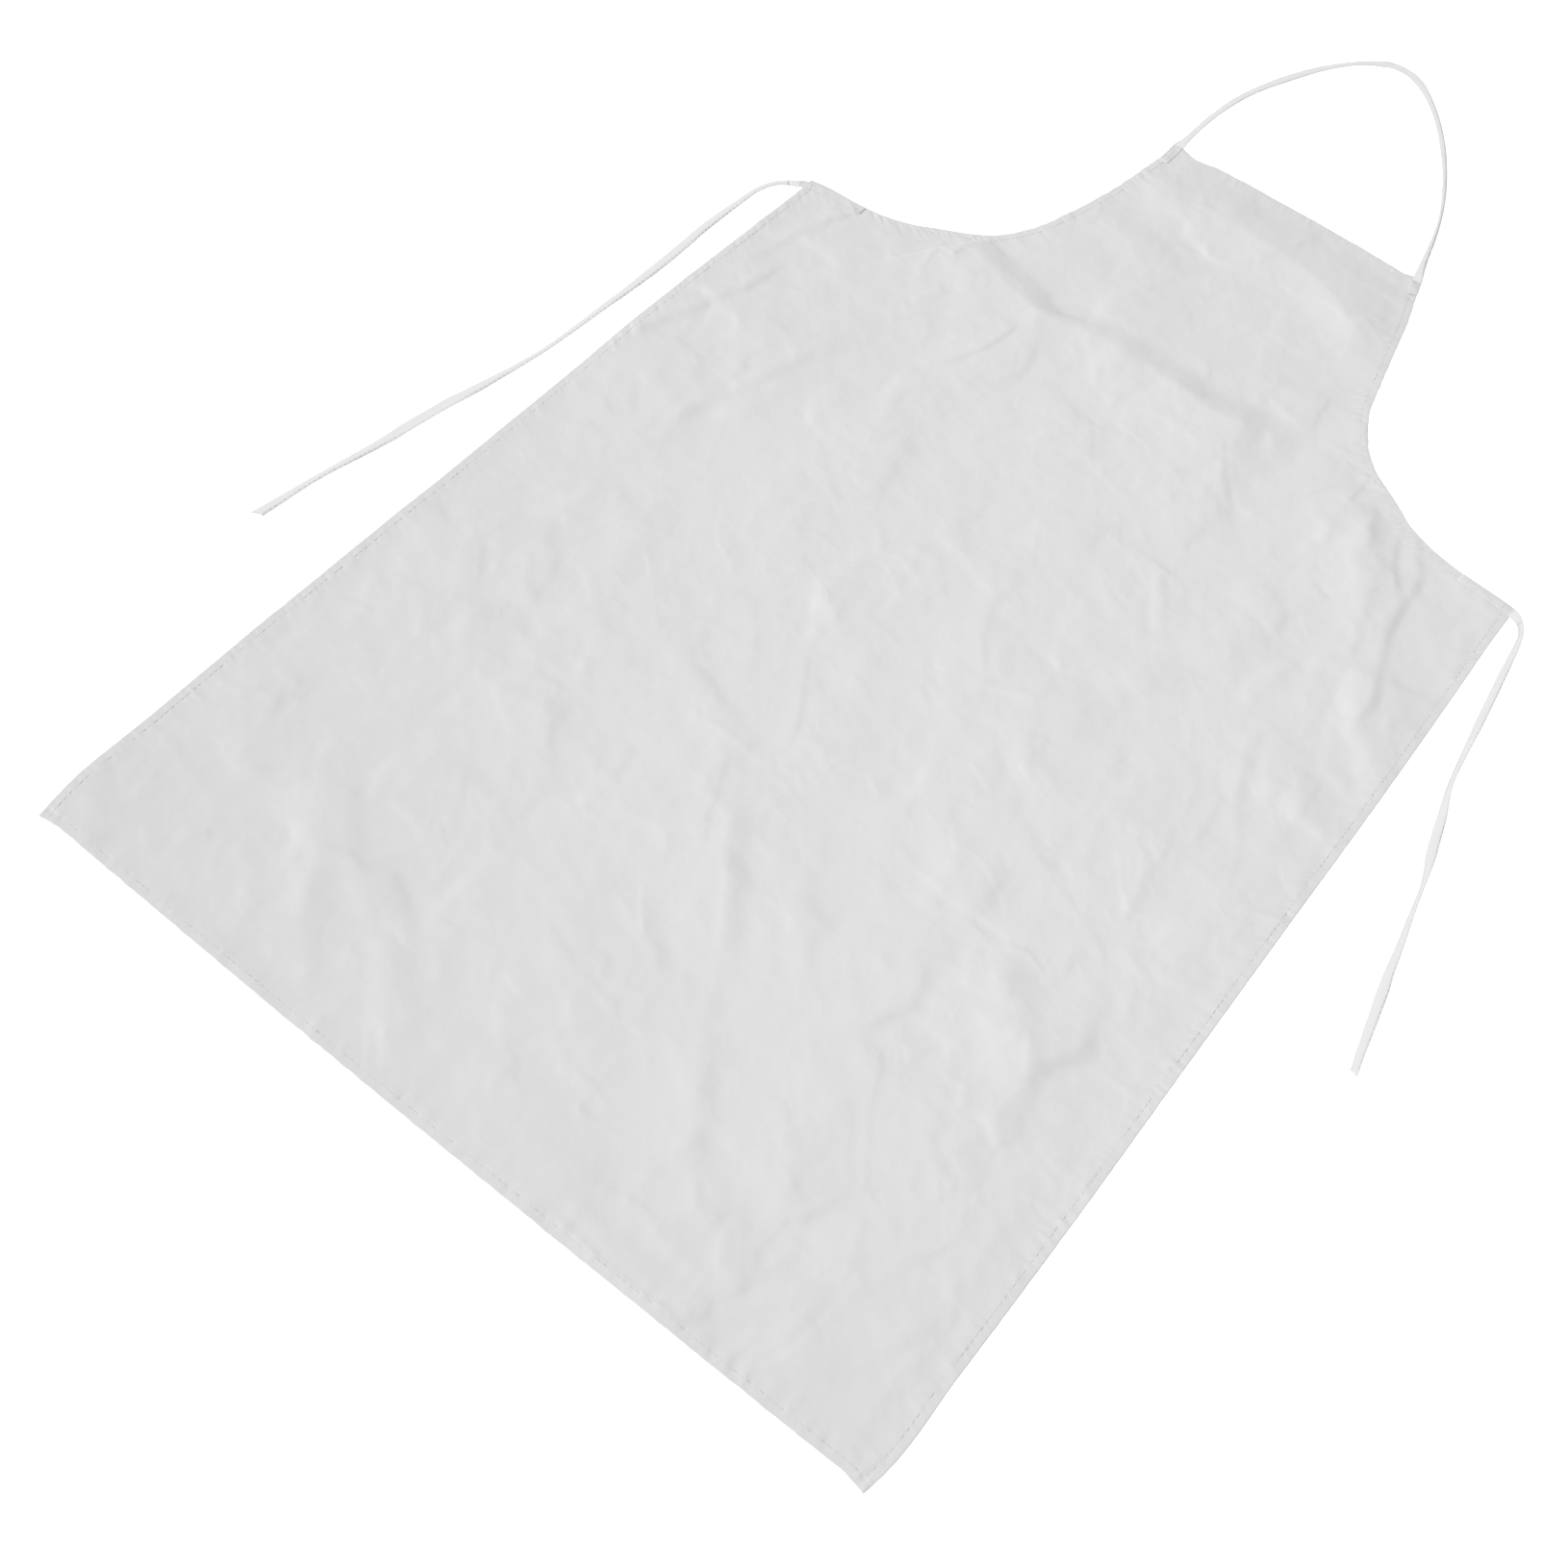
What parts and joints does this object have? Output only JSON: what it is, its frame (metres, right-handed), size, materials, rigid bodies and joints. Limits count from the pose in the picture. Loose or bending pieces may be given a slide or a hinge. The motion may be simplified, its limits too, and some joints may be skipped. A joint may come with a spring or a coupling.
{
  "type": "butcher apron",
  "caption": "Flat bib apron in thin coated cloth with narrow stitched hems, a sewn-on neck loop and a waist tie at each side.",
  "frame": {"origin": "midway between the two waist corners, on the plane the apron's back rests on", "axes": "+Y up the apron from skirt to bib, +Z out of the front face, +X to the right when the front is seen with the bib at the top"},
  "size_m": [0.8823, 1.369, 0.002],
  "materials": {
    "apron_cloth": "pale grey coated cloth, smooth, soft satin sheen, fine plain weave just showing",
    "strap_cloth": "the same coated cloth folded into a narrow strip, slightly lighter, soft satin sheen",
    "stitching": "matt spun polyester thread, matched to the cloth"
  },
  "bodies": {
    "skirt": {"skirt_panel_upper": "apron_cloth", "shoulder_seam_left": "stitching", "shoulder_seam_right": "stitching", "side_seam_left_upper": "stitching", "side_seam_right_upper": "stitching", "waist_tie_left_sewn_end": "strap_cloth", "waist_tie_right_sewn_end": "strap_cloth", "waist_tie_left_bar_tacks": "stitching", "waist_tie_right_bar_tacks": "stitching"},
    "lower_skirt": {"skirt_panel_lower": "apron_cloth", "side_seam_left_lower": "stitching", "side_seam_right_lower": "stitching", "bottom_hem_seam": "stitching"},
    "bib": {"bib_panel": "apron_cloth", "armhole_seam_left": "stitching", "armhole_seam_right": "stitching", "top_hem_seam": "stitching", "neck_strap_left_sewn_end": "strap_cloth", "neck_strap_right_sewn_end": "strap_cloth", "neck_strap_left_bar_tacks": "stitching", "neck_strap_right_bar_tacks": "stitching"},
    "neck_strap": {"neck_strap": "strap_cloth", "neck_strap_edge_seam": "stitching"},
    "tie_left_root": {"waist_tie_left_root": "strap_cloth"},
    "tie_left": {"waist_tie_left": "strap_cloth", "waist_tie_left_edge_seam": "stitching"},
    "tie_right_root": {"waist_tie_right_root": "strap_cloth"},
    "tie_right": {"waist_tie_right": "strap_cloth", "waist_tie_right_edge_seam": "stitching"}
  },
  "joints": [
    {"name": "bib_fold", "type": "hinge", "parent": "skirt", "child": "bib", "pos_m": [0, 0.022, 0.014], "axis": [1, 0, 0], "range_deg": [0, 179.5]},
    {"name": "skirt_fold", "type": "hinge", "parent": "skirt", "child": "lower_skirt", "pos_m": [0, -0.59, 0.014], "axis": [-1, 0, 0], "range_deg": [0, 179.5]},
    {"name": "neck_strap_fold", "type": "hinge", "parent": "bib", "child": "neck_strap", "pos_m": [0, 0.2702, 0.008], "axis": [1, 0, 0], "range_deg": [0, 179.5]},
    {"name": "waist_tie_left_fold", "type": "hinge", "parent": "skirt", "child": "tie_left_root", "pos_m": [-0.3505, -0.007, 0.008], "axis": [0, 1, 0], "range_deg": [0, 179.5]},
    {"name": "waist_tie_left_swing", "type": "hinge", "parent": "tie_left_root", "child": "tie_left", "pos_m": [-0.365, -0.0155, 0.0004], "axis": [0, 0, 1], "range_deg": [-85, 0]},
    {"name": "waist_tie_right_fold", "type": "hinge", "parent": "skirt", "child": "tie_right_root", "pos_m": [0.3505, -0.007, 0.008], "axis": [0, -1, 0], "range_deg": [0, 179.5]},
    {"name": "waist_tie_right_swing", "type": "hinge", "parent": "tie_right_root", "child": "tie_right", "pos_m": [0.364, -0.0155, 0.0004], "axis": [0, 0, -1], "range_deg": [-85, 0]}
  ]
}
